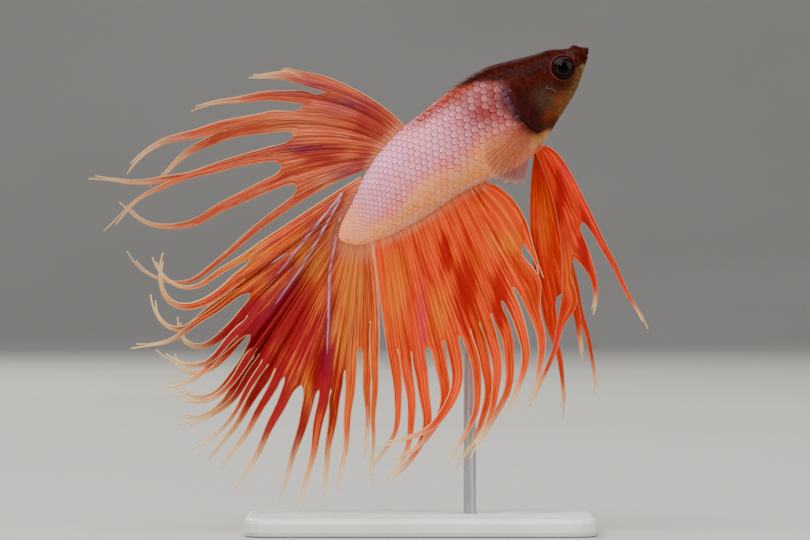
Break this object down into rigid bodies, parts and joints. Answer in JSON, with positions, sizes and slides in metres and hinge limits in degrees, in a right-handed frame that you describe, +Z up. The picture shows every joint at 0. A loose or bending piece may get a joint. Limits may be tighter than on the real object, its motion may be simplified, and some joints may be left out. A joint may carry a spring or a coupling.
{
  "type": "betta fish model",
  "caption": "Life-size crowntail betta fish swimming head-up with long rayed fins spread, held by a plain flat stand with one short rod.",
  "frame": {"origin": "centre of the stand base's underside", "axes": "+X towards the fish's head, +Y towards its left side, +Z up"},
  "size_m": [0.0902, 0.04, 0.0785],
  "materials": {
    "head_skin": "dark maroon skin, moist sheen",
    "jaw_skin": "pale brown to silvery yellow skin",
    "eye": "near-black iris under a clear cornea",
    "flank_scales": "pink-mauve scales with pale pearly edges",
    "dorsal_web": "translucent salmon membrane over fine rays",
    "caudal_web": "translucent orange and dark red membrane",
    "anal_web": "translucent bright orange membrane",
    "pelvic_web": "translucent red-orange membrane",
    "pectoral_web": "thin pinkish-brown membrane",
    "stand_base": "satin off-white acrylic",
    "stand_rod": "ground steel rod"
  },
  "bodies": {
    "root": {"head": "head_skin", "lower_jaw": "jaw_skin", "gill_cover_left": "head_skin", "gill_cover_right": "head_skin", "eye_left": "eye", "eye_right": "eye", "trunk": "flank_scales", "tail_stem": "flank_scales", "dorsal_fin": "dorsal_web", "caudal_fin": "caudal_web", "anal_fin": "anal_web", "pelvic_fin_left": "pelvic_web", "pelvic_fin_right": "pelvic_web", "pectoral_fin_left": "pectoral_web", "pectoral_fin_right": "pectoral_web", "stand_base": "stand_base", "stand_rod": "stand_rod"}
  },
  "joints": []
}
